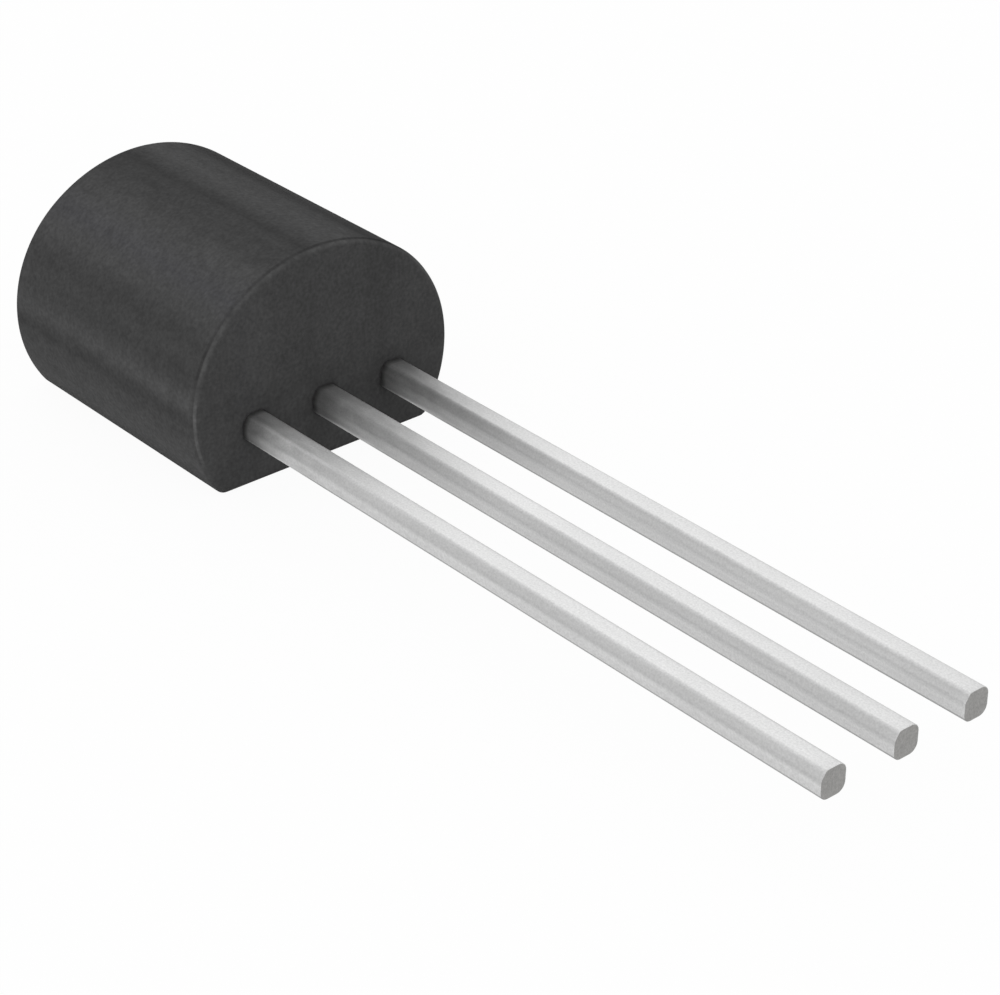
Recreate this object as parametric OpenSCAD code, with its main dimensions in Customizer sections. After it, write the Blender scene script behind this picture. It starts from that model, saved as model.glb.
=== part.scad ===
// Three-lead moulded transistor package, lying on its flat.
// Millimetres. +X runs out along the leads, +Y across the row, +Z up to the round back.
// The origin is on the middle lead's axis, where that lead leaves the body.

/* [Moulded body] */
// Width of the body across the row of leads
body_w = 4.68; // [4.45:0.01:5.2]
// Length of the body along its leads
body_len = 4.79; // [4.32:0.01:5.33]
// Depth of the body from the flat to the crown of the round back
body_depth = 3.44; // [3.18:0.01:3.9]
// How far the centre of each flank arc sits from the centre plane
flank_shift = 0.27; // [0.1:0.005:0.5]
// How far the crown stands above the circle of the flanks
crown_lift = 0.09; // [0.04:0.01:0.2]
// Rounding of the two long corners beside the flat
flat_corner_r = 0.18; // [0.12:0.01:0.4]
// Rounding of the edges around both end faces
end_edge_r = 0.11; // [0.03:0.01:0.2]

/* [Leads] */
// Distance between the centres of neighbouring leads
lead_pitch = 1.27; // [1.15:0.01:1.39]
// Width of a lead across the row
lead_w = 0.435; // [0.36:0.005:0.53]
// Thickness of a lead, and of the whole lead frame
lead_t = 0.44; // [0.36:0.005:0.5]
// Rounding of the four long edges of a lead
lead_edge_r = 0.145; // [0.02:0.005:0.17]
// Length of a lead outside the body
lead_len = 11.62; // [6:0.01:16]
// Height of the lead centres above the flat
lead_height = 0.95; // [0.8:0.01:1.2]

/* [Lead frame inside the body] */
// Depth in the body at which an outer lead widens into its bonding post
post_depth = 0.5; // [0.3:0.05:0.8]
// Length of a bonding post along its lead
post_len = 0.85; // [0.5:0.05:1]
// Width of a bonding post across the row
post_w = 0.9; // [0.55:0.05:1]
// Gap along the leads between the bonding posts and the die flag
flag_gap = 0.25; // [0.15:0.05:0.5]
// Length of the die flag along the leads
flag_len = 2; // [1.2:0.05:2.3]
// Width of the die flag across the row
flag_w = 2; // [1:0.05:2.6]

/* [Die and bond wires] */
// Side of the square silicon die
die_side = 0.5; // [0.4:0.05:0.9]
// Thickness of the silicon die
die_t = 0.2; // [0.1:0.01:0.3]
// Thickness of the solder layer under the die
attach_t = 0.02; // [0.01:0.005:0.05]
// How far the solder layer spreads past each side of the die
attach_spread = 0.03; // [0:0.01:0.1]
// Distance of each bond pad from the centre of the die, across the row
pad_shift = 0.12; // [0.06:0.01:0.15]
// Diameter of a bond wire
wire_d = 0.025; // [0.018:0.001:0.03]
// Rise of the middle of a bond wire above the die, at the top of its loop
wire_rise = 0.3; // [0.2:0.05:0.6]
// Diameter of the bonded foot at each end of a wire
foot_d = 0.08; // [0.06:0.01:0.1]
// Height of the bonded foot at each end of a wire
foot_h = 0.035; // [0.032:0.001:0.05]

/* [Fit] */
// Gap between the moulding and the pieces embedded in it: none, since the resin grips them
mould_gap = 0; // [0:0.005:0.02]

/* [Hidden] */
$fn = 96;

// Section of the body: arcs that run into each other without a corner, over a flat.
// It is drawn at a hundredth of its size, where such arcs meet most exactly, and then enlarged.
// Centres are given across and above the widest level, on the +Y side.
draft = 0.01;
shell_len = draft * body_len;
lift = draft * crown_lift;
flank_r = draft * (body_w / 2 - flank_shift);
flank = [draft * flank_shift, 0];
crown = [0, (lift * lift - flank.x * flank.x) / (2 * lift)];
crown_r = flank_r + lift - crown.y;
flat_drop = draft * body_depth - flank_r - lift;
corner_r = draft * flat_corner_r;
corner_rise = corner_r - flat_drop;
corner = [flank.x + sqrt(pow(flank_r - corner_r, 2) - pow(corner_rise, 2)), corner_rise];
edge_r = draft * min(end_edge_r, flat_corner_r);

// Points well outside the section, in line with two centres, where one arc hands over to the next
reach = draft * 2 * body_w;
flank_ray = flank + reach * (flank - crown) / norm(flank - crown);
corner_ray = corner + reach * (corner - flank) / norm(corner - flank);

// Heights, measured from the axis of the leads
flat_z = -lead_height;
widest_z = flat_z + flat_drop / draft;
frame_top_z = lead_t / 2;
die_base_z = frame_top_z + attach_t;
die_top_z = die_base_z + die_t;

// Places along the leads, inside the body
post_end_x = -post_depth - post_len;
post_mid_x = -post_depth - post_len / 2;
flag_start_x = post_end_x - flag_gap;
flag_end_x = flag_start_x - flag_len;
flag_mid_x = flag_start_x - flag_len / 2;

// Loop of a bond wire in its own upright plane: a bend up from the pad, then a straight slope
wire_run = norm([flag_mid_x - post_mid_x, lead_pitch - pad_shift]);
wire_drop = die_top_z - frame_top_z;
bend_r = wire_rise - foot_h / 2;
bend_to_post = norm([wire_run - bend_r, wire_drop]);
slope_len = sqrt(bend_to_post * bend_to_post - bend_r * bend_r);
slope_angle = atan2(wire_drop, wire_run - bend_r) + asin(bend_r / bend_to_post);

// Stands a sketch of the section (across, up) upright across the leads
module across_leads() rotate([90, 0, 90]) children();

// What rounding takes off a square corner at [edge_r, 0]
module rim_waste()
    difference() {
        square(edge_r);
        translate([0, edge_r]) circle(edge_r);
    }

// Outline that is swept around the body: straight along its side, round at both end faces
module rim_outline(r)
    translate([0, -shell_len])
        difference() {
            square([r, shell_len]);
            translate([r - edge_r, 0]) rim_waste();
            translate([r - edge_r, shell_len]) mirror([0, 1]) rim_waste();
        }

// Prism over a patch of the section, longer than the body at both ends
module patch(points)
    translate([0, 0, -shell_len - reach])
        linear_extrude(shell_len + 2 * reach)
            polygon(points);

// Round-edged disc about one centre
module disc(centre, r) translate([centre.x, centre.y, 0]) rotate_extrude() rim_outline(r);

// Crown, from the handover on one side to the handover on the other
module crown_slice()
    intersection() {
        disc(crown, crown_r);
        patch([crown, flank_ray, [-flank_ray.x, flank_ray.y]]);
    }

// Flank on the +Y side, from inside the crown down to the handover to the corner
module flank_slice()
    intersection() {
        disc(flank, flank_r);
        patch([flank, corner_ray, [corner_ray.x, flank_ray.y], [0, flank_ray.y], [0, 0]]);
    }

// Slab between the two corners, from the flat up to the widest level
module flat_slab()
    translate([corner.x, 0, 0])
        rotate([90, 0, -90])
            linear_extrude(2 * corner.x)
                rim_outline(flat_drop);

module body_shell()
    translate([0, 0, widest_z])
        scale(1 / draft)
            across_leads() {
                crown_slice();
                flat_slab();
                for (side = [0, 1])
                    mirror([side, 0]) {
                        flank_slice();
                        disc(corner, corner_r);
                    }
            }

// Section of a lead, with its four edges rounded
module lead_section(grow) {
    w = lead_w + 2 * grow;
    t = lead_t + 2 * grow;
    r = min(lead_edge_r + grow, w / 2, t / 2);
    square([w - 2 * r, t], center = true);
    square([w, t - 2 * r], center = true);
    for (y = [-1, 1], z = [-1, 1])
        translate([y * (w / 2 - r), z * (t / 2 - r)]) circle(r);
}

// Straight lead from a depth inside the body to its cut tip
module lead(from_x, grow)
    translate([from_x, 0, 0])
        across_leads()
            linear_extrude(lead_len - from_x)
                lead_section(grow);

// Box centred across the row: from end to end along the leads, and from z up
module block(end_x, start_x, w, z, h, grow)
    translate([end_x - grow, -w / 2 - grow, z - grow])
        cube([start_x - end_x + 2 * grow, w + 2 * grow, h + 2 * grow]);

// Outer lead with its bonding post: side is 1 or -1 across the row
module outer_lead(side, grow = 0)
    translate([0, side * lead_pitch, 0]) {
        lead(-post_depth, grow);
        block(post_end_x, -post_depth, post_w, -lead_t / 2, lead_t, grow);
    }

// Middle lead, which ends in the flag that carries the die
module middle_lead(grow = 0) {
    lead(flag_start_x, grow);
    block(flag_end_x, flag_start_x, flag_w, -lead_t / 2, lead_t, grow);
}

// Square chip in the middle of the flag
module chip(side, z, h, grow)
    block(flag_mid_x - side / 2, flag_mid_x + side / 2, side, z, h, grow);

module silicon(grow = 0) chip(die_side, die_base_z, die_t, grow);

module solder(grow = 0) chip(die_side + 2 * attach_spread, frame_top_z, attach_t, grow);

// Bonded end of a wire, standing on a pad or a post
module wire_foot(grow)
    translate([0, 0, -grow])
        cylinder(h = foot_h + 2 * grow, d = foot_d + 2 * grow);

// Bond wire to the post on one side, with a foot at each end
module bond_wire(side, grow = 0)
    translate([flag_mid_x, side * pad_shift, die_top_z])
        rotate([0, 0, side * atan2(lead_pitch - pad_shift, post_mid_x - flag_mid_x)]) {
            wire_foot(grow);
            translate([wire_run, 0, -wire_drop]) wire_foot(grow);
            translate([bend_r, 0, foot_h / 2])
                rotate([90, slope_angle, 0]) {
                    rotate([0, 0, 90])
                        rotate_extrude(angle = 90 + slope_angle)
                            translate([bend_r, 0]) circle(d = wire_d + 2 * grow);
                    translate([0, bend_r, 0])
                        rotate([0, 90, 0]) cylinder(h = slope_len, d = wire_d + 2 * grow);
                }
        }

// Everything that the resin is moulded around
module embedded(grow) {
    middle_lead(grow);
    solder(grow);
    silicon(grow);
    for (side = [1, -1]) {
        outer_lead(side, grow);
        bond_wire(side, grow);
    }
}

module body()
    color("#3e3e3f")
        difference() {
            body_shell();
            embedded(mould_gap);
        }

module collector_lead() color("#d9d9d7") middle_lead();

module base_lead() color("#d9d9d7") outer_lead(1);

module emitter_lead() color("#d9d9d7") outer_lead(-1);

module die() color("#4a5568") silicon();

module die_attach() color("#a8a9ad") solder();

module base_bond_wire() color("#d4a93c") bond_wire(1);

module emitter_bond_wire() color("#d4a93c") bond_wire(-1);

body();
collector_lead();
base_lead();
emitter_lead();
die();
die_attach();
base_bond_wire();
emitter_bond_wire();
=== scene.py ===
import math

import bmesh
import bpy
from mathutils import Matrix, Vector


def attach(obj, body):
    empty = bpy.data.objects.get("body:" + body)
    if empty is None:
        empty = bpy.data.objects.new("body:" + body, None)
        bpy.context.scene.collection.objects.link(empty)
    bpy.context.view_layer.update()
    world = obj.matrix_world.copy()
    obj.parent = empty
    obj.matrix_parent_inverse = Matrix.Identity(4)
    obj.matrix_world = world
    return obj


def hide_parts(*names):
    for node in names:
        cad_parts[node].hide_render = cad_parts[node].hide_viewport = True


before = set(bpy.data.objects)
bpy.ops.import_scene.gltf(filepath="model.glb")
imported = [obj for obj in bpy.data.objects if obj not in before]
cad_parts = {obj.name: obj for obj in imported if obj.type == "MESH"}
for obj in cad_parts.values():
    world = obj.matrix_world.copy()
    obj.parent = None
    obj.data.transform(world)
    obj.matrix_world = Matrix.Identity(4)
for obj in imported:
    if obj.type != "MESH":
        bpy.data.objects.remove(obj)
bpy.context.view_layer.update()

# Shapes are drawn in millimetres and turned into metres when their mesh is made
MM = 0.001

# ---------------------------------------------------------------- sizes as in the part
BODY_LEN = 4.79
BODY_HALF_W = 2.34
BODY_DEPTH = 3.44
FLANK_SHIFT = 0.27
CROWN_LIFT = 0.09
CORNER_R = 0.18
RIM_R = 0.11
PITCH = 1.27
LEAD_W = 0.435
LEAD_T = 0.44
LEAD_EDGE_R = 0.145
LEAD_LEN = 11.62
LEAD_HEIGHT = 0.95
POST_DEPTH, POST_LEN, POST_W = 0.5, 0.85, 0.9
FLAG_GAP, FLAG_LEN, FLAG_W = 0.25, 2.0, 2.0

FLANK_R = BODY_HALF_W - FLANK_SHIFT
CROWN_Y = (CROWN_LIFT**2 - FLANK_SHIFT**2) / (2 * CROWN_LIFT)
CROWN_R = FLANK_R + CROWN_LIFT - CROWN_Y
FLAT_DROP = BODY_DEPTH - FLANK_R - CROWN_LIFT
CORNER_RISE = CORNER_R - FLAT_DROP
CORNER_X = FLANK_SHIFT + math.sqrt((FLANK_R - CORNER_R) ** 2 - CORNER_RISE**2)
WIDEST_Z = FLAT_DROP - LEAD_HEIGHT
POST_END_X = -POST_DEPTH - POST_LEN
FLAG_START_X = POST_END_X - FLAG_GAP

# ---------------------------------------------------------------- trim that the solids leave out
# Mould line round the lead end's rim: distance of its middle from the end face, width and depth,
# then the height where it ends and the height over which it fades in
WITNESS_X, WITNESS_W, WITNESS_DEPTH = 0.075, 0.055, 0.014
WITNESS_END_Z, WITNESS_FADE = 0.6, 0.4
# Recess in the end face round the root of a lead, and its profile as shares of depth and width
RECESS_W, RECESS_DEPTH = 0.06, 0.022
RECESS_PROFILE = ((-0.02, 1.1), (0, 1), (0.05, 0.8), (0.16, 0.58), (0.4, 0.32), (1, 0.06))
# Rolled bevel on one long edge of a lead: slope in degrees, length of the slope, and its rounding
# into the top and into the side
BEVEL_ANGLE, BEVEL_LEN = 55, 0.096
BEVEL_TOP_R, BEVEL_SIDE_R = 0.055, 0.1
# Tips: how far the sheared edge is broken, and the insets of the rings across the bare end
TIP_BREAK = 0.004
TIP_INSETS = (0.007, 0.03, 0.06, 0.1, 0.15)
# Broken edges of the punched posts and of the flag
PLATE_BREAK = 0.03
# How far a lead's bar runs on into its post or flag
OVERLAP = 0.05

# ---------------------------------------------------------------- how finely shapes are divided
SMOOTH_ANGLE = 32
WELD = 1e-5
CROWN_STEPS, FLANK_STEPS, CORNER_STEPS, FLAT_STEPS = 24, 56, 12, 20
PLAIN_RIM_STEPS, SIDE_STEPS, LEAD_RIM_STEPS = 10, 24, 27
# Rings that close an end face, as shares of its outline, and their centre above the widest level
CAP_SHARES = (0.02, 0.3, 0.55, 0.78, 0.93)
CAP_RISE = 0.35
LEAD_STEPS, EDGE_STEPS, BEVEL_STEPS, SLOPE_STEPS, TIP_STEPS = 60, 12, 8, 4, 4

# ---------------------------------------------------------------- finish, stage and camera
# Streaks of the moulding compound, partly painted reflections: their place in the noise (picked
# by a search, to suit the photo's averaged tones), the distances from both end faces between
# which they fade, and the share of them that is left at the rims
STREAK_AND_REFLECTION_OFFSET = (19.8, 13.4, 7.0)
FADE_START, FADE_END, FADE_LEFT = 0.03, 0.14, 0.2
# Tone of the mould line, in painted shade and painted highlight: width of its band beside the end
# face, the height over which it fades in above, and the lowest and highest level of its painted
# highlight lower on the side
LINE_BAND, LINE_FADE = 0.20, 0.3
LOW_HIGHLIGHT_BOTTOM, LOW_HIGHLIGHT_TOP = -0.6, 1.2
# Resin that has crept onto the leads, with painted shade and painted reflection of the body in
# it:
# its reach from the body, and where its tones are set along that reach
BLEED_AND_SHADE_LEN = 4
BLEED_AND_SHADE_AT = (0.027, 0.075, 0.15, 0.25, 0.5, 0.75)
# Distances from the body over which painted shade on a lead's lowest edge fades in, its painted
# light near the body fades out, and the epoxy stains end
SHADED_EDGE, LIT_EDGE, STAINED = (0.4, 1.8), (0.9, 1.5), (0.8, 3)
# Plating of each lead, partly painted light and shade: tones below the bevel, on it and at the
# top edge, then those along the reach of the epoxy on the leads. They were fitted to the photo's
# averaged tones, and part of them is its light, painted in
PLATING_AND_LIGHT = {
    "base_lead": (0.94, 0.93, 1.08, (0.42, 0.49, 0.63, 0.69, 0.78, 0.90)),
    "collector_lead": (0.91, 0.89, 1.087, (0.42, 0.47, 0.62, 0.75, 0.83, 0.91)),
    "emitter_lead": (0.83, 0.853, 1.086, (0.48, 0.55, 0.73, 0.88, 0.95, 1)),
}
# Pieces that keep their own shape: material, nodes, darkest and palest colour, metallic share,
# least and most roughness, grains per millimetre
SEALED = (
    ("silicon_chip", ("die",), (0.045, 0.055, 0.075), (0.075, 0.09, 0.12), 0.2, 0.12, 0.3, 9),
    ("solder_layer", ("die_attach",), (0.33, 0.33, 0.34), (0.48, 0.48, 0.49), 1, 0.3, 0.5, 12),
    ("gold_wire", ("base_bond_wire", "emitter_bond_wire"),
     (0.80, 0.56, 0.20), (0.90, 0.66, 0.27), 1, 0.2, 0.34, 30),
)
# Floor: half its side, how far it lies below the part, its tone, and its share of plain white
FLOOR_HALF, FLOOR_GAP = 600, 0.002
FLOOR_TONE, FLOOR_WHITE = 0.9, 0.95
SKY_STRENGTH = 0.85
# Lamps: direction from the part, distance, width, height, and radiance of the lit face
SOFTBOXES = {
    "back_softbox": ((-0.824, 0.316, 0.469), 400, 323, 356, 0.78),
    "side_softbox": ((0.5, -0.8, 0.25), 180, 160, 160, 0.62),
}
LAMP_AIM = (3, 0, 0.5)
# Camera, rounded from a fit to points read from the photo: turn and rise in degrees, and its
# place to the right of, above and back from the aim
CAMERA_TURN, CAMERA_RISE = 49.665, 30.007
CAMERA_AIM = (0, 0, 0.335)
CAMERA_RIGHT, CAMERA_UP, CAMERA_BACK = 2.5813, -1.7458, 42.862
CAMERA_LENS, CAMERA_SENSOR = 104.668, 36


# ---------------------------------------------------------------- mesh helpers
def add_object(name, data):
    obj = bpy.data.objects.new(name, data)
    bpy.context.scene.collection.objects.link(obj)
    return obj


def new_object(name, bm, materials):
    """Turns a bmesh drawn in millimetres into an object in metres."""
    bmesh.ops.remove_doubles(bm, verts=bm.verts, dist=WELD)
    bmesh.ops.recalc_face_normals(bm, faces=bm.faces)
    for face in bm.faces:
        face.smooth = True
    limit = math.radians(SMOOTH_ANGLE)
    for edge in bm.edges:
        if len(edge.link_faces) == 2 and edge.calc_face_angle(0) > limit:
            edge.smooth = False
    mesh = bpy.data.meshes.new(name)
    bm.to_mesh(mesh)
    bm.free()
    mesh.transform(Matrix.Scale(MM, 4))
    for material in materials:
        mesh.materials.append(material)
    return add_object(name, mesh)


def skin(bm, rings):
    """Joins closed rings of the same length with quads, and closes the first and the last."""
    rows = [[bm.verts.new(p) for p in ring] for ring in rings]
    for a, b in zip(rows, rows[1:]):
        for i in range(len(a)):
            j = (i + 1) % len(a)
            bm.faces.new((a[i], a[j], b[j], b[i]))
    bm.faces.new(rows[0])
    bm.faces.new(rows[-1])
    return rows


def scratch_solid(name, rings):
    """A solid still in millimetres, for one shape to be cut from another."""
    bm = bmesh.new()
    skin(bm, rings)
    bmesh.ops.recalc_face_normals(bm, faces=bm.faces)
    mesh = bpy.data.meshes.new(name)
    bm.to_mesh(mesh)
    bm.free()
    return add_object(name, mesh)


def arc(cx, cy, r, start, end, steps):
    """Points along an arc, angles in degrees, the end point left out."""
    out = []
    for i in range(steps):
        t = math.radians(start + (end - start) * i / steps)
        out.append((cx + r * math.cos(t), cy + r * math.sin(t)))
    return out


# ---------------------------------------------------------------- the leads
def lead_outline(inset=0):
    """Section of a lead: a rolled bevel on the upper edge at -Y, the other three edges round."""
    w, t, r = LEAD_W / 2, LEAD_T / 2, LEAD_EDGE_R
    turn = math.radians(BEVEL_ANGLE)
    run, drop = math.cos(turn), math.sin(turn)
    side_z = t - BEVEL_TOP_R * (1 - run) - BEVEL_LEN * drop - BEVEL_SIDE_R * run
    top_y = w - BEVEL_SIDE_R * (1 - drop) - BEVEL_LEN * run - BEVEL_TOP_R * drop
    points = arc(w - r, t - r, r, 0, 90, EDGE_STEPS)
    points += arc(-top_y, t - BEVEL_TOP_R, BEVEL_TOP_R, 90, 90 + BEVEL_ANGLE, BEVEL_STEPS)
    for i in range(SLOPE_STEPS):
        along = BEVEL_LEN * i / SLOPE_STEPS
        points.append((
            -top_y - BEVEL_TOP_R * drop - along * run,
            t - BEVEL_TOP_R * (1 - run) - along * drop,
        ))
    points += arc(BEVEL_SIDE_R - w, side_z, BEVEL_SIDE_R, 90 + BEVEL_ANGLE, 180, BEVEL_STEPS)
    points.append((-w, side_z))
    points += arc(r - w, r - t, r, 180, 270, EDGE_STEPS)
    points += arc(w - r, r - t, r, 270, 360, EDGE_STEPS)
    points.append((w, r - t))
    size = 1 - inset / t
    return [(y * size, z * size) for y, z in points]


def lead_ring(x, y0, inset=0):
    return [(x, y0 + y, z) for y, z in lead_outline(inset)]


def lead_rings(y0, from_x):
    """A lead from inside the body to its sheared tip."""
    rings = []
    for i in range(LEAD_STEPS):
        rings.append(lead_ring(from_x + (LEAD_LEN - TIP_BREAK - from_x) * i / LEAD_STEPS, y0))
    for i in range(TIP_STEPS + 1):
        t = math.radians(90 * i / TIP_STEPS)
        x = LEAD_LEN - TIP_BREAK * (1 - math.sin(t))
        rings.append(lead_ring(x, y0, TIP_BREAK * (1 - math.cos(t))))
    for inset in TIP_INSETS:
        rings.append(lead_ring(LEAD_LEN, y0, inset))
    return rings


def add_plate(bm, x0, x1, y0, width):
    """Post or flag: a punched plate from x0 to x1, centred on y0, with its edges broken."""
    made = set(bmesh.ops.create_cube(bm, size=1)["verts"])
    for v in made:
        v.co = Vector((
            x0 if v.co.x < 0 else x1,
            y0 - width / 2 if v.co.y < 0 else y0 + width / 2,
            -LEAD_T / 2 if v.co.z < 0 else LEAD_T / 2,
        ))
    edges = [e for e in bm.edges if made.issuperset(e.verts)]
    bmesh.ops.bevel(bm, geom=edges, offset=PLATE_BREAK, segments=3, profile=0.5, affect="EDGES")


def make_lead(name, y0, plate, plated, bare):
    """A lead and its post or flag in one mesh, with bare metal on the sheared tip."""
    x0, x1, width = plate
    bm = bmesh.new()
    rows = skin(bm, lead_rings(y0, x1 - OVERLAP))
    sheared_verts = {v for row in rows[-len(TIP_INSETS):] for v in row}
    for face in bm.faces:
        face.material_index = int(sheared_verts.issuperset(face.verts))
    add_plate(bm, x0, x1, y0, width)
    return new_object(name, bm, [plated, bare])


# ---------------------------------------------------------------- the moulded body
def body_outline(inset):
    """Section of the body, inset evenly, as (across, up) points, once round."""
    handover = math.degrees(math.atan2(-CROWN_Y, FLANK_SHIFT))
    corner_at = math.degrees(math.atan2(CORNER_RISE, CORNER_X - FLANK_SHIFT))
    flat_z = -FLAT_DROP + inset
    half = arc(0, CROWN_Y, CROWN_R - inset, 90, handover, CROWN_STEPS)
    half += arc(FLANK_SHIFT, 0, FLANK_R - inset, handover, corner_at, FLANK_STEPS)
    half += arc(CORNER_X, CORNER_RISE, CORNER_R - inset, corner_at, -90, CORNER_STEPS)
    half += [(CORNER_X * (1 - i / FLAT_STEPS), flat_z) for i in range(FLAT_STEPS)]
    left = [(-x, z) for x, z in reversed(half[1:])]
    points = half + [(0.0, flat_z)] + left
    return [(x, z + WIDEST_Z) for x, z in points]


def witness_line(x, y, z):
    """Depth of the fine, uneven mould line that runs round the rim at the lead end."""
    across = (x + WITNESS_X) / WITNESS_W + 0.5
    if not 0 < across < 1:
        return 0
    turn = math.atan2(y, z - WIDEST_Z)
    uneven = 0.7
    for height, waves, start in ((0.18, 3, 0.7), (0.07, 11, 0), (0.05, 29, 0)):
        uneven += height * math.sin(waves * turn + start)
    fade = min(max((z - WITNESS_END_Z) / WITNESS_FADE, 0), 1)
    return WITNESS_DEPTH * fade * uneven * math.sin(math.pi * across) ** 2


def body_rings():
    """Sections of the body from the plain end to the lead end, with both end faces closed."""
    centre_z = WIDEST_Z + CAP_RISE
    probe = 0.01

    def cap(x):
        edge = body_outline(RIM_R)
        return [
            [(x, y * s, centre_z + (z - centre_z) * s) for y, z in edge]
            for s in CAP_SHARES
        ]

    stops = []
    for i in range(PLAIN_RIM_STEPS + 1):
        t = math.radians(90 * i / PLAIN_RIM_STEPS)
        stops.append((-BODY_LEN + RIM_R * (1 - math.cos(t)), RIM_R * (1 - math.sin(t))))
    for i in range(1, SIDE_STEPS):
        stops.append((-BODY_LEN + RIM_R + (BODY_LEN - 2 * RIM_R) * i / SIDE_STEPS, 0))
    for i in range(LEAD_RIM_STEPS + 1):
        t = math.radians(90 * (1 - i / LEAD_RIM_STEPS))
        stops.append((-RIM_R * (1 - math.cos(t)), RIM_R * (1 - math.sin(t))))
    rings = []
    for x, inset in stops:
        ring = []
        for (y, z), (deep_y, deep_z) in zip(body_outline(inset), body_outline(inset + probe)):
            share = witness_line(x, y, z) / probe
            ring.append((x, y + (deep_y - y) * share, z + (deep_z - z) * share))
        rings.append(ring)
    return cap(-BODY_LEN) + rings + cap(0)[::-1]


def recess_cutter(y0):
    """Funnel that opens a narrow recess in the end face round the root of one lead."""
    return scratch_solid("cutter", [
        lead_ring(-RECESS_DEPTH * depth, y0, -RECESS_W * width) for depth, width in RECESS_PROFILE
    ])


def make_body(material):
    block = scratch_solid("block", body_rings())
    cutters = [recess_cutter(y) for y in (-PITCH, 0, PITCH)]
    for cutter in cutters:
        cut = block.modifiers.new("recess", "BOOLEAN")
        cut.operation = "DIFFERENCE"
        cut.solver = "EXACT"
        cut.object = cutter
    shape = block.evaluated_get(bpy.context.evaluated_depsgraph_get())
    bm = bmesh.new()
    bm.from_mesh(shape.to_mesh())
    shape.to_mesh_clear()
    for spent in cutters + [block]:
        bpy.data.objects.remove(spent)
    return new_object("moulded_body", bm, [material])


# ---------------------------------------------------------------- materials
def feed(value, socket):
    """Links an output socket to an input, or sets the input to a plain value."""
    if isinstance(value, bpy.types.NodeSocket):
        socket.id_data.links.new(value, socket)
    else:
        socket.default_value = value


class Nodes:
    """Builds one node material. Its steps hand on output sockets."""

    def __init__(self, name):
        self.material = bpy.data.materials.new(name)
        self.material.use_nodes = True
        self.tree = self.material.node_tree
        self.tree.nodes.clear()
        out = self.add("ShaderNodeOutputMaterial")
        self.bsdf = self.add("ShaderNodeBsdfPrincipled")
        feed(self.bsdf.outputs["BSDF"], out.inputs["Surface"])
        self.coords = self.add("ShaderNodeTexCoord").outputs["Object"]
        split = self.add("ShaderNodeSeparateXYZ")
        feed(self.coords, split.inputs["Vector"])
        self.axes = split.outputs

    def add(self, kind, **values):
        node = self.tree.nodes.new(kind)
        for key, value in values.items():
            setattr(node, key, value)
        return node

    def finish(self, **values):
        """Feeds the shader's own sockets, an underscore in a name standing for a space."""
        for key, value in values.items():
            feed(value, self.bsdf.inputs[key.replace("_", " ")])
        return self.material

    def noise(self, scale, detail=2.0, rough=0.5, offset=(0, 0, 0)):
        """Noise whose scale is given as features per millimetre along x, y and z."""
        mapping = self.add("ShaderNodeMapping")
        mapping.inputs["Location"].default_value = offset
        mapping.inputs["Scale"].default_value = [1000 * s for s in scale]
        feed(self.coords, mapping.inputs["Vector"])
        noise = self.add("ShaderNodeTexNoise")
        noise.inputs["Scale"].default_value = 1
        noise.inputs["Detail"].default_value = detail
        noise.inputs["Roughness"].default_value = rough
        feed(mapping.outputs["Vector"], noise.inputs["Vector"])
        return noise.outputs["Fac"]

    def remap(self, value, low, high, start=0.3, end=0.7):
        """Goes from low to high as the value goes from start to end."""
        node = self.add("ShaderNodeMapRange")
        node.inputs["From Min"].default_value = start
        node.inputs["From Max"].default_value = end
        node.inputs["To Min"].default_value = low
        node.inputs["To Max"].default_value = high
        feed(value, node.inputs["Value"])
        return node.outputs["Result"]

    def along(self, axis, low, high, start, end):
        """Goes from low to high as the place on one axis goes from start to end."""
        return self.remap(self.axes[axis], low, high, start * MM, end * MM)

    def ramp(self, value, stops):
        """Colour ramp over (place, colour) stops, a single number standing for a grey."""
        node = self.add("ShaderNodeValToRGB")
        elements = node.color_ramp.elements
        while len(elements) < len(stops):
            elements.new(0.5)
        for element, (at, colour) in zip(elements, stops):
            rgb = colour if isinstance(colour, tuple) else (colour,) * 3
            element.position = at
            element.color = (*rgb, 1)
        feed(value, node.inputs["Fac"])
        return node.outputs["Color"]

    def product(self, a, b):
        node = self.add("ShaderNodeMath", operation="MULTIPLY")
        feed(a, node.inputs[0])
        feed(b, node.inputs[1])
        return node.outputs["Value"]

    def tint(self, colour, *layers, share=1.0):
        """Multiplies a colour by layers of colour, each by the same share."""
        for layer in layers:
            node = self.add("ShaderNodeMix", data_type="RGBA", blend_type="MULTIPLY")
            for socket, value in ((0, share), (6, colour), (7, layer)):
                feed(value, node.inputs[socket])
            colour = node.outputs[2]
        return colour

    def bump(self, *layers):
        """Stacks bumps, each (height, depth in millimetres, strength)."""
        normal = None
        for height, depth, strength in layers:
            node = self.add("ShaderNodeBump")
            node.inputs["Distance"].default_value = depth * MM
            node.inputs["Strength"].default_value = strength
            feed(height, node.inputs["Height"])
            if normal is not None:
                feed(normal, node.inputs["Normal"])
            normal = node.outputs["Normal"]
        return normal


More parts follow.
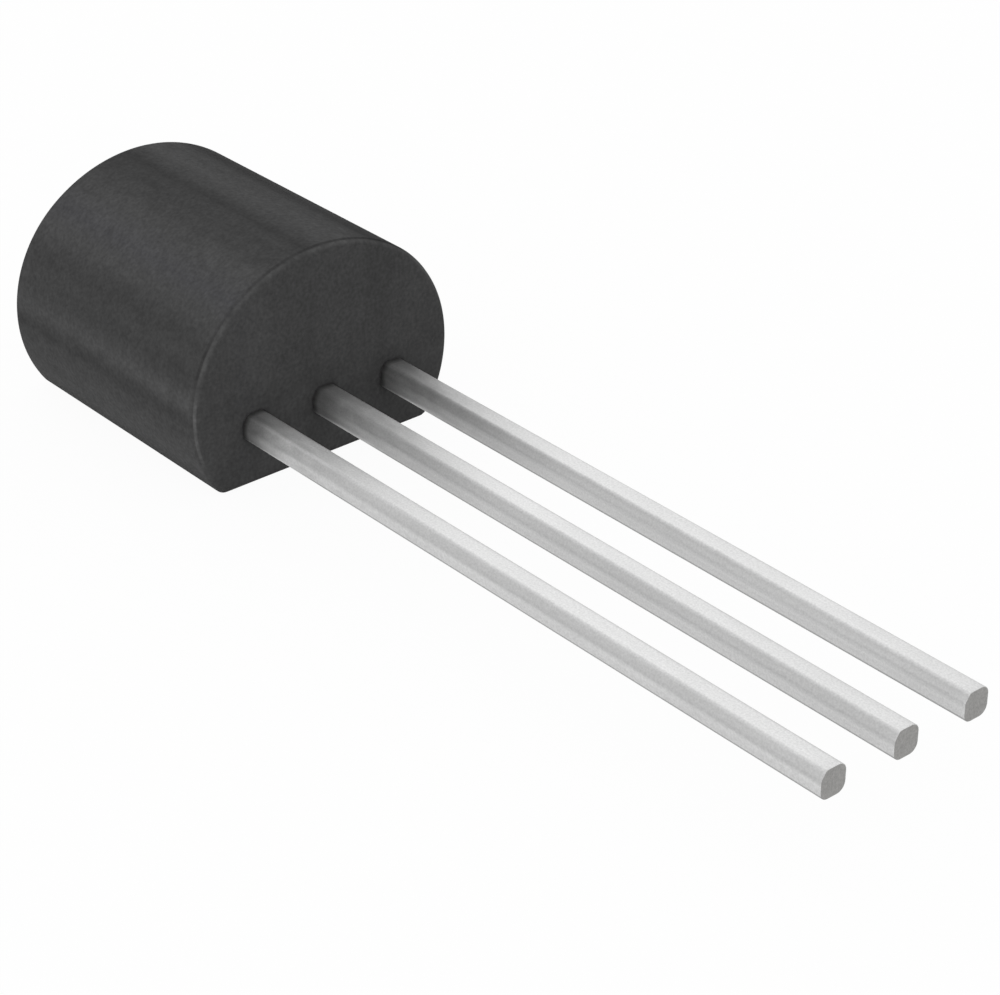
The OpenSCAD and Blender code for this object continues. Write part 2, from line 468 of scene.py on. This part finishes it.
def epoxy():
    """Black moulding compound: silica grain, soft streaks along the round side that are partly
    painted reflections, tones by height and across that are partly painted light and shade, a
    mould line in painted shade and painted highlight.
    """
    m = Nodes("moulding_compound")
    cloud = m.noise((0.5, 1.1, 1.1), detail=3)
    grain = m.noise((17, 17, 17), detail=1)
    mottle = m.noise((5, 5, 5))
    fine = m.noise((34, 34, 34), detail=1)
    bands = m.noise((0.03, 0.9, 0.9), detail=1, rough=0.4, offset=STREAK_AND_REFLECTION_OFFSET)
    flow = m.noise((0.05, 2.6, 2.6), detail=1)
    base = m.ramp(cloud, [(0.3, (0.0536, 0.0536, 0.0537)), (0.7, (0.0586, 0.0586, 0.0587))])
    thread = m.ramp(flow, [(0.3, 0.92), (0.7, 1.08)])
    soft = m.ramp(bands, [(0.28, 0.78), (0.64, (1.22, 1.22, 1.225))])
    speck = m.ramp(grain, [(0.26, 0.85), (0.74, 1.15)])
    patch = m.ramp(mottle, [(0.3, 0.93), (0.7, 1.07)])

    # The streaks are on the round side and fade out at both rims. The tones by height and across
    # were fitted to the photo's averaged tones, and part of them is painted light and shade
    to_rim = m.along("X", 1, FADE_LEFT, -FADE_END, -FADE_START)
    from_rim = m.along("X", FADE_LEFT, 1, FADE_START - BODY_LEN, FADE_END - BODY_LEN)
    side = m.product(to_rim, from_rim)
    height = m.along("Z", 0, 1, -LEAD_HEIGHT, BODY_DEPTH - LEAD_HEIGHT)
    tone_and_light_by_height = m.ramp(height, [
        (0.08, 1.3), (0.2, 1.19), (0.33, 1.23), (0.372, 0.92), (0.42, 1.11), (0.477, 1.23),
        (0.56, 1.08), (0.65, 1.2), (0.72, 1.05), (0.77, 0.98),
    ])
    width = m.along("Y", 0, 1, -BODY_HALF_W, BODY_HALF_W)
    across = m.ramp(width, [
        (0.13, 1.04), (0.18, (0.99, 0.99, 1.03)), (0.27, 1.25), (0.35, 1.06), (0.41, 1),
        (0.453, 0.74), (0.49, 1.02), (0.64, 1), (0.73, 0.61), (0.84, 0.72), (0.97, 0.9),
    ])
    colour = m.tint(base, soft, thread, tone_and_light_by_height, across, share=side)
    colour = m.tint(colour, patch, speck)

    # The mould line in painted shade and painted highlight: a dark thread of painted shade in its
    # groove beside a pale thread of painted highlight above, and a painted highlight lower on the
    # side
    rim = m.along("X", 0, 1, -LINE_BAND, 0)
    line = m.ramp(rim, [
        (0.46, 1), (0.55, 0.7), (0.68, 0.68), (0.76, 1.3), (0.83, 1.55), (0.90, 1.4), (0.98, 1),
    ])
    low_rim_highlight = m.ramp(rim, [(0.68, 1), (0.76, 2.1), (0.86, 2.1), (0.93, 1)])
    faint = m.remap(m.noise((1.2, 1.2, 1.2), detail=3), 0.22, 1, 0.36, 0.62)
    upper = m.along("Z", 0, 1, WITNESS_END_Z, WITNESS_END_Z + LINE_FADE)
    level = m.along("Z", 0, 1, LOW_HIGHLIGHT_BOTTOM, LOW_HIGHLIGHT_TOP)
    middle = m.ramp(level, [(0.1, 0), (0.25, 1), (0.66, 1), (0.78, 0)])
    colour = m.tint(colour, line, share=m.product(faint, upper))
    colour = m.tint(colour, low_rim_highlight, share=m.product(faint, middle))
    return m.finish(
        Base_Color=colour,
        Roughness=m.remap(m.noise((0.25, 5, 5)), 0.7, 0.82),
        Specular_IOR_Level=0.02,
        Normal=m.bump((grain, 0.006, 0.24), (fine, 0.003, 0.16)),
    )


def tin(name, flank, bevel, top, bleed_and_shade):
    """Matte tin plating: drawn streaks, fine crystal grain, epoxy stains beside the body, bands
    of painted light and shade by height, painted shade and painted reflection of the body near
    the root.
    """
    m = Nodes(name)
    drawn = m.noise((0.5, 16, 16), detail=3, rough=0.6)
    grain = m.noise((32, 36, 36), rough=0.6)
    cloud = m.noise((0.7, 2.2, 2.2))
    base = m.ramp(cloud, [(0.3, (0.636, 0.636, 0.635)), (0.7, (0.666, 0.666, 0.665))])
    speck = m.ramp(grain, [(0.3, 0.905), (0.72, 1.085)])
    streak = m.ramp(drawn, [(0.3, 0.96), (0.7, 1.035)])

    # Bands up the side, over the bevel and along the lowest edge, fitted to the photo's tones.
    # They are partly marks of the punch and partly painted light and shade
    height = m.along("Z", 0, 1, -LEAD_T / 2, LEAD_T / 2)
    punch_marks_and_light = m.ramp(height, [
        (0.30, 0.985), (0.41, 0.985), (0.47, 1.015), (0.52, 1.03), (0.576, 0.965),
        (0.66, flank), (0.72, flank), (0.78, bevel), (0.90, 0.865), (0.955, 0.985), (0.975, 1),
        (0.998, top),
    ])
    colour = m.tint(base, speck, streak, punch_marks_and_light)
    # Painted shade on the lowest edge, away from the body
    painted_shade_under = m.ramp(height, [(0.01, 1), (0.05, 0.5), (0.17, 0.55), (0.25, 1)])
    colour = m.tint(colour, painted_shade_under, share=m.along("X", 0, 1, *SHADED_EDGE))
    # Close to the body the lowest edge is paler: painted light
    painted_light_low = m.ramp(height, [(0.02, 1.5), (0.14, 1.4), (0.26, 1)])
    colour = m.tint(colour, painted_light_low, share=m.along("X", 1, 0, *LIT_EDGE))

    # Partly epoxy that has crept onto the tin, partly painted shade and painted reflection of the
    # body: a dark line at the root, then a darkening that thins out along the lead
    reach = m.along("X", 0, 1, 0, BLEED_AND_SHADE_LEN)
    resin_and_shade = m.ramp(reach, [(0, 0.19), (0.006, 0.22), *zip(BLEED_AND_SHADE_AT, bleed_and_shade), (1, 1)])
    stain = m.ramp(m.noise((3.2, 8, 8), detail=3), [(0.3, 0.87), (0.7, 1.09)])
    colour = m.tint(colour, resin_and_shade)
    colour = m.tint(colour, stain, share=m.along("X", 1, 0, *STAINED))
    return m.finish(
        Base_Color=colour,
        Roughness=m.remap(drawn, 0.58, 0.66),
        Metallic=1,
        Normal=m.bump((drawn, 0.003, 0.25), (grain, 0.0025, 0.35)),
    )


def sheared():
    """Bare alloy of the cut tips: upright shear marks over a torn grain."""
    m = Nodes("sheared_alloy")
    marks = m.noise((9, 40, 10), detail=4, rough=0.7)
    grain = m.noise((38, 38, 38), detail=3, rough=0.7)
    base = m.ramp(marks, [(0.3, (0.30, 0.296, 0.289)), (0.7, (0.385, 0.381, 0.373))])
    speck = m.ramp(grain, [(0.28, 0.8), (0.74, 1.16)])
    return m.finish(
        Base_Color=m.tint(base, speck),
        Roughness=m.remap(marks, 0.5, 0.68),
        Metallic=1,
        Normal=m.bump((marks, 0.004, 0.4), (grain, 0.003, 0.4)),
    )


def sealed(name, low, high, metallic, rough_low, rough_high, grains):
    """Plain grained material for a piece inside the body."""
    m = Nodes(name)
    grain = m.noise((grains, grains, grains), detail=3)
    return m.finish(
        Base_Color=m.ramp(grain, [(0.3, low), (0.7, high)]),
        Roughness=m.remap(grain, rough_low, rough_high),
        Metallic=metallic,
        Normal=m.bump((grain, 0.001, 0.3)),
    )


# ---------------------------------------------------------------- pieces
body = make_body(epoxy())
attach(body, "root")
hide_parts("body")

bare = sheared()
post = (POST_END_X, -POST_DEPTH, POST_W)
flag = (FLAG_START_X - FLAG_LEN, FLAG_START_X, FLAG_W)
for node, y0, plate in (
    ("base_lead", PITCH, post),
    ("collector_lead", 0.0, flag),
    ("emitter_lead", -PITCH, post),
):
    piece = make_lead("tinned_" + node, y0, plate, tin("tin_" + node, *PLATING_AND_LIGHT[node]), bare)
    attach(piece, "root")
    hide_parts(node)

for name, nodes, *look in SEALED:
    material = sealed(name, *look)
    for node in nodes:
        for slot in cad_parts[node].material_slots:
            slot.material = material


# ---------------------------------------------------------------- stage, light and camera
def backdrop_switch(tree, white, plain, share):
    """Gives camera, glossy and transmission rays a share of plain white, other rays the rest."""
    path = tree.nodes.new("ShaderNodeLightPath").outputs
    seen = path["Is Camera Ray"]
    for operation, value in (
        ("MAXIMUM", path["Is Glossy Ray"]),
        ("MAXIMUM", path["Is Transmission Ray"]),
        ("MULTIPLY", share),
    ):
        node = tree.nodes.new("ShaderNodeMath")
        node.operation = operation
        feed(seen, node.inputs[0])
        feed(value, node.inputs[1])
        seen = node.outputs[0]
    mix = tree.nodes.new("ShaderNodeMixShader")
    for socket, source in zip(mix.inputs, (seen, plain, white)):
        feed(source, socket)
    return mix.outputs[0]


def make_floor():
    bm = bmesh.new()
    bmesh.ops.create_grid(bm, x_segments=4, y_segments=4, size=FLOOR_HALF)
    for v in bm.verts:
        v.co.z = -LEAD_HEIGHT - FLOOR_GAP
    material = bpy.data.materials.new("pale_floor")
    material.use_nodes = True
    tree = material.node_tree
    tree.nodes.clear()
    out = tree.nodes.new("ShaderNodeOutputMaterial")
    matte = tree.nodes.new("ShaderNodeBsdfDiffuse")
    matte.inputs["Color"].default_value = (FLOOR_TONE, FLOOR_TONE, FLOOR_TONE, 1)
    glow = tree.nodes.new("ShaderNodeEmission")
    glow.inputs["Strength"].default_value = 1
    shader = backdrop_switch(tree, glow.outputs[0], matte.outputs[0], FLOOR_WHITE)
    feed(shader, out.inputs["Surface"])
    floor = new_object("floor", bm, [material])


def make_world():
    world = bpy.data.worlds.new("studio")
    bpy.context.scene.world = world
    world.use_nodes = True
    tree = world.node_tree
    white, plain = tree.nodes["Background"], tree.nodes.new("ShaderNodeBackground")
    for sky, strength in ((white, 1), (plain, SKY_STRENGTH)):
        sky.inputs["Color"].default_value = (1, 1, 1, 1)
        sky.inputs["Strength"].default_value = strength
    shader = backdrop_switch(tree, white.outputs[0], plain.outputs[0], 1)
    feed(shader, tree.nodes["World Output"].inputs["Surface"])


def make_softbox(name, direction, distance, width, height, radiance):
    """A flat lamp that faces the part."""
    lamp = bpy.data.lights.new(name, "AREA")
    lamp.shape = "RECTANGLE"
    lamp.size = width * MM
    lamp.size_y = height * MM
    lamp.energy = radiance * math.pi * width * height * MM**2
    obj = add_object(name, lamp)
    away = Vector(direction).normalized()
    obj.location = Vector(LAMP_AIM) * MM + away * distance * MM
    obj.rotation_euler = away.to_track_quat("Z", "Y").to_euler()


def make_camera():
    a, e = math.radians(CAMERA_TURN), math.radians(CAMERA_RISE)
    right = Vector((math.cos(a), math.sin(a), 0))
    up = Vector((-math.sin(e) * math.sin(a), math.sin(e) * math.cos(a), math.cos(e)))
    back = Vector((math.sin(a) * math.cos(e), -math.cos(a) * math.cos(e), math.sin(e)))
    place = Vector(CAMERA_AIM) + CAMERA_RIGHT * right + CAMERA_UP * up + CAMERA_BACK * back
    data = bpy.data.cameras.new("camera")
    data.sensor_fit = "HORIZONTAL"
    data.sensor_width = CAMERA_SENSOR
    data.lens = CAMERA_LENS
    data.clip_start = 0.001
    data.clip_end = 10
    camera = add_object("camera", data)
    turn = Matrix((right, up, back)).transposed().to_4x4()
    camera.matrix_world = Matrix.Translation(place * MM) @ turn
    bpy.context.scene.camera = camera


make_floor()
make_world()
for name, setting in SOFTBOXES.items():
    make_softbox(name, *setting)
make_camera()
bpy.context.scene.view_settings.view_transform = "Standard"
